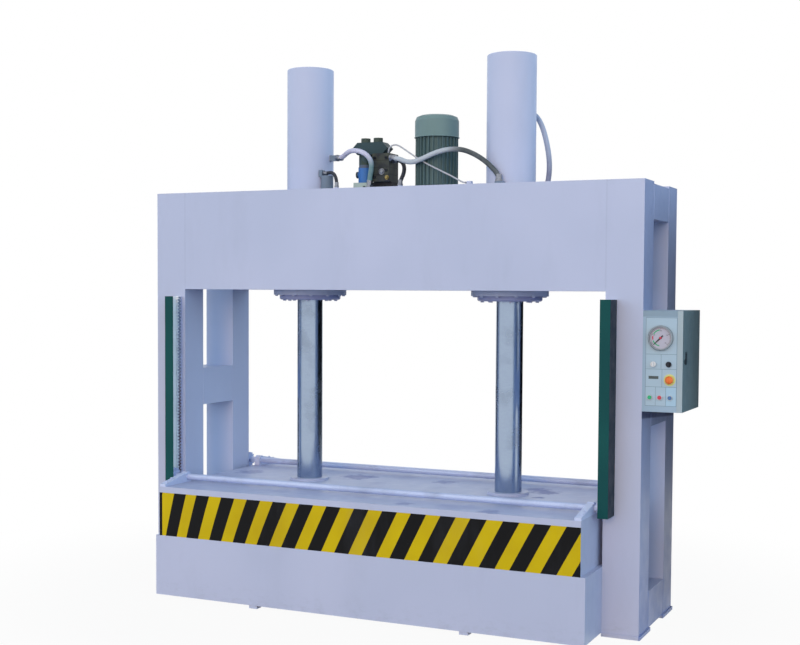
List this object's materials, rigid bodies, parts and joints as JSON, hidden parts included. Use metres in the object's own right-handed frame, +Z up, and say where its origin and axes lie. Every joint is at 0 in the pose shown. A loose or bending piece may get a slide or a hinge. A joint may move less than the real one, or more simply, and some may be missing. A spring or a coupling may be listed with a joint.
{
  "type": "hydraulic press",
  "caption": "Upright hydraulic press for boards: welded box frame, paired cylinders pushing a deep platen, toothed racks that keep it level, rear tank, motor, valves and side control box.",
  "frame": {"origin": "on the floor under the middle of the bed, at the foot of the centre levelling pad; the platen is at the bottom of its travel", "axes": "+X to the operator's right (the control box's side), +Y to the rear, +Z up"},
  "size_m": [3.157, 1.3, 3.061],
  "materials": {
    "frame_paint": "semi-gloss lavender blue",
    "platen_paint": "semi-gloss lavender blue",
    "guard_paint": "semi-gloss dark green",
    "ground_steel": "ground",
    "rod_chrome": "polished",
    "shaft_steel": "bright",
    "motor_paint": "satin grey-green",
    "tank_paint": "semi-gloss",
    "valve_body": "satin",
    "coil_blue": "satin",
    "knob_dark": "satin",
    "hose_grey": "matt",
    "hose_black": "matt",
    "box_paint": "semi-gloss grey",
    "gauge_rim": "polished",
    "pointer_black": "satin",
    "green_cap": "gloss",
    "red_cap": "gloss",
    "blue_cap": "gloss",
    "stop_cap": "gloss",
    "selector_white": "gloss",
    "selector_black": "gloss"
  },
  "bodies": {
    "frame": {"front_left_post": "frame_paint", "front_left_rack": "ground_steel", "front_right_post": "frame_paint", "front_right_rack": "ground_steel", "rear_left_post": "frame_paint", "rear_left_rack": "ground_steel", "rear_right_post": "frame_paint", "rear_right_rack": "ground_steel", "left_rack_guard": "guard_paint", "right_rack_guard": "guard_paint", "front_top_beam": "frame_paint", "rear_top_beam": "frame_paint", "left_top_tie": "frame_paint", "right_top_tie": "frame_paint", "left_middle_tie": "frame_paint", "right_middle_tie": "frame_paint", "base_frame": "frame_paint", "bed_plate": "frame_paint", "left_cylinder": "frame_paint", "right_cylinder": "frame_paint", "left_gland": "frame_paint", "right_gland": "frame_paint", "oil_tank": "tank_paint", "tank_lid": "tank_paint", "pump_motor": "motor_paint", "motor_cowl": "motor_paint", "valve_manifold": "valve_body", "solenoid_valve": "coil_blue", "left_port_hose": "hose_black", "left_feed_hose": "hose_grey", "right_feed_hose": "hose_grey", "right_upper_hose": "hose_grey", "gauge_line": "hose_grey", "return_hose": "hose_black", "control_box": "box_paint", "pressure_gauge": "gauge_rim"},
    "platen": {"press_plate": "platen_paint", "platen_frame": "platen_paint", "platen_top_plate": "platen_paint", "left_piston_rod": "rod_chrome", "right_piston_rod": "rod_chrome", "front_left_shaft_bracket": "platen_paint", "front_right_shaft_bracket": "platen_paint", "rear_left_shaft_bracket": "platen_paint", "rear_right_shaft_bracket": "platen_paint"},
    "front_shaft": {"front_sync_shaft": "shaft_steel"},
    "rear_shaft": {"rear_sync_shaft": "shaft_steel"},
    "door": {"control_door": "box_paint"},
    "pointer": {"gauge_pointer": "pointer_black"},
    "green_push": {"green_button": "green_cap"},
    "red_push": {"red_button": "red_cap"},
    "blue_push": {"blue_button": "blue_cap"},
    "stop_push": {"stop_button": "stop_cap"},
    "pressure_turn": {"pressure_selector": "selector_white"},
    "mode_turn": {"mode_selector": "selector_black"},
    "left_knob": {"left_valve_knob": "knob_dark"},
    "right_knob": {"right_valve_knob": "knob_dark"}
  },
  "joints": [
    {"name": "platen_lift", "type": "slide", "parent": "frame", "child": "platen", "axis": [0, 0, 1], "range_m": [0, 1]},
    {"name": "front_shaft_spin", "type": "hinge", "parent": "platen", "child": "front_shaft", "pos_m": [0, -0.415, 0.67], "axis": [1, 0, 0], "range_deg": [-1364.7, 0]},
    {"name": "rear_shaft_spin", "type": "hinge", "parent": "platen", "child": "rear_shaft", "pos_m": [0, 0.415, 0.67], "axis": [1, 0, 0], "range_deg": [0, 1364.7]},
    {"name": "door_hinge", "type": "hinge", "parent": "frame", "child": "door", "pos_m": [1.64425, 0.045, 1.421], "axis": [0, 0, 1], "range_deg": [0, 110]},
    {"name": "gauge_needle", "type": "hinge", "parent": "frame", "child": "pointer", "pos_m": [1.562, -0.3655, 1.539], "axis": [0, 1, 0], "range_deg": [0, 270], "stiffness_Nm_per_rad": 0.01},
    {"name": "green_press", "type": "slide", "parent": "frame", "child": "green_push", "axis": [0, 1, 0], "range_m": [0, 0.004], "stiffness_N_per_m": 400, "springref_m": -0.001},
    {"name": "red_press", "type": "slide", "parent": "frame", "child": "red_push", "axis": [0, 1, 0], "range_m": [0, 0.004], "stiffness_N_per_m": 400, "springref_m": -0.001},
    {"name": "blue_press", "type": "slide", "parent": "frame", "child": "blue_push", "axis": [0, 1, 0], "range_m": [0, 0.004], "stiffness_N_per_m": 400, "springref_m": -0.001},
    {"name": "stop_press", "type": "slide", "parent": "frame", "child": "stop_push", "axis": [0, 1, 0], "range_m": [0, 0.005], "stiffness_N_per_m": 800, "springref_m": -0.001},
    {"name": "pressure_select", "type": "hinge", "parent": "frame", "child": "pressure_turn", "pos_m": [1.526, -0.355, 1.407], "axis": [0, 1, 0], "range_deg": [-45, 45]},
    {"name": "mode_select", "type": "hinge", "parent": "frame", "child": "mode_turn", "pos_m": [1.603, -0.355, 1.407], "axis": [0, 1, 0], "range_deg": [-45, 45]},
    {"name": "left_knob_turn", "type": "hinge", "parent": "frame", "child": "left_knob", "pos_m": [-0.26432, 0, 2.633], "axis": [0, 0, 1], "range_deg": [0, 360]},
    {"name": "right_knob_turn", "type": "hinge", "parent": "frame", "child": "right_knob", "pos_m": [-0.18452, 0, 2.633], "axis": [0, 0, 1], "range_deg": [0, 360]}
  ],
  "couplings": [
    {"joint": "front_shaft_spin", "follows": "platen_lift", "rad_per_m": -23.809},
    {"joint": "rear_shaft_spin", "follows": "platen_lift", "rad_per_m": 23.809}
  ]
}
